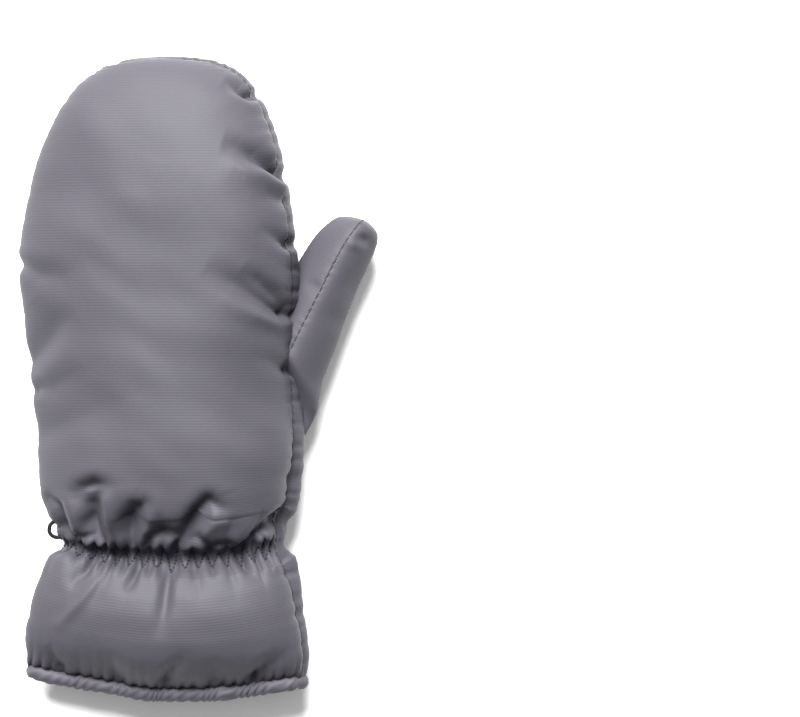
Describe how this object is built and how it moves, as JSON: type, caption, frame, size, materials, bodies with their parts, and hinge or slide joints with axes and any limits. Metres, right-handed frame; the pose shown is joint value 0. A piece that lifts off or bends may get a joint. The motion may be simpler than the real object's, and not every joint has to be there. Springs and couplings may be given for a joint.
{
  "type": "ski mitten",
  "caption": "Padded left-hand ski mitten with a gathered elastic wrist, short flared cuff, bound hem, separate thumb stall, fleece lining and a small cord loop for clipping a pair together.",
  "frame": {"origin": "centre of the flat of the palm, on the surface that the mitten lies on", "axes": "+Y towards the fingertips, +X towards the thumb, +Z out of the back of the hand"},
  "size_m": [0.1604, 0.2875, 0.059],
  "materials": {
    "shell_cloth": "matt ribbed polyester with a faint sheen",
    "grip_cloth": "matt grained synthetic suede",
    "wadding": "white polyester wadding",
    "fleece": "brushed fleece",
    "elastic": "woven elastic tape",
    "loop_cord": "braided elastic cord",
    "thread": "polyester sewing thread",
    "label_cloth": "woven satin tape"
  },
  "bodies": {
    "hand": {"back_panel_hand": "shell_cloth", "side_gusset_hand": "shell_cloth", "palm_panel_hand": "grip_cloth", "wadding_back_hand": "wadding", "wadding_palm_hand": "wadding", "lining_back_hand": "fleece", "lining_palm_hand": "fleece", "wrist_elastic": "elastic", "loop_bar_tack": "thread"},
    "cuff": {"back_panel_cuff": "shell_cloth", "side_gusset_cuff": "shell_cloth", "palm_panel_cuff": "shell_cloth", "wadding_back_cuff": "wadding", "wadding_palm_cuff": "wadding", "lining_back_cuff": "fleece", "lining_palm_cuff": "fleece", "hem_binding": "shell_cloth", "care_label": "label_cloth"},
    "thumb": {"thumb_outer_panel": "shell_cloth", "thumb_inner_panel": "shell_cloth", "thumb_grip_panel": "grip_cloth", "thumb_wadding": "wadding", "thumb_lining": "fleece"},
    "loop": {"pair_loop": "loop_cord"}
  },
  "joints": [
    {"name": "wrist_bend", "type": "hinge", "parent": "hand", "child": "cuff", "pos_m": [0, -0.098, 0.025], "axis": [1, 0, 0], "range_deg": [-30, 30], "stiffness_Nm_per_rad": 0.15},
    {"name": "thumb_fold", "type": "hinge", "parent": "hand", "child": "thumb", "pos_m": [0.056, 0, 0.019], "axis": [0, 1, 0], "range_deg": [-8, 50], "stiffness_Nm_per_rad": 0.12},
    {"name": "loop_swing", "type": "hinge", "parent": "hand", "child": "loop", "pos_m": [-0.0495, -0.09025, 0.025], "axis": [0, 1, 0], "range_deg": [-60, 60], "stiffness_Nm_per_rad": 0.0005}
  ]
}
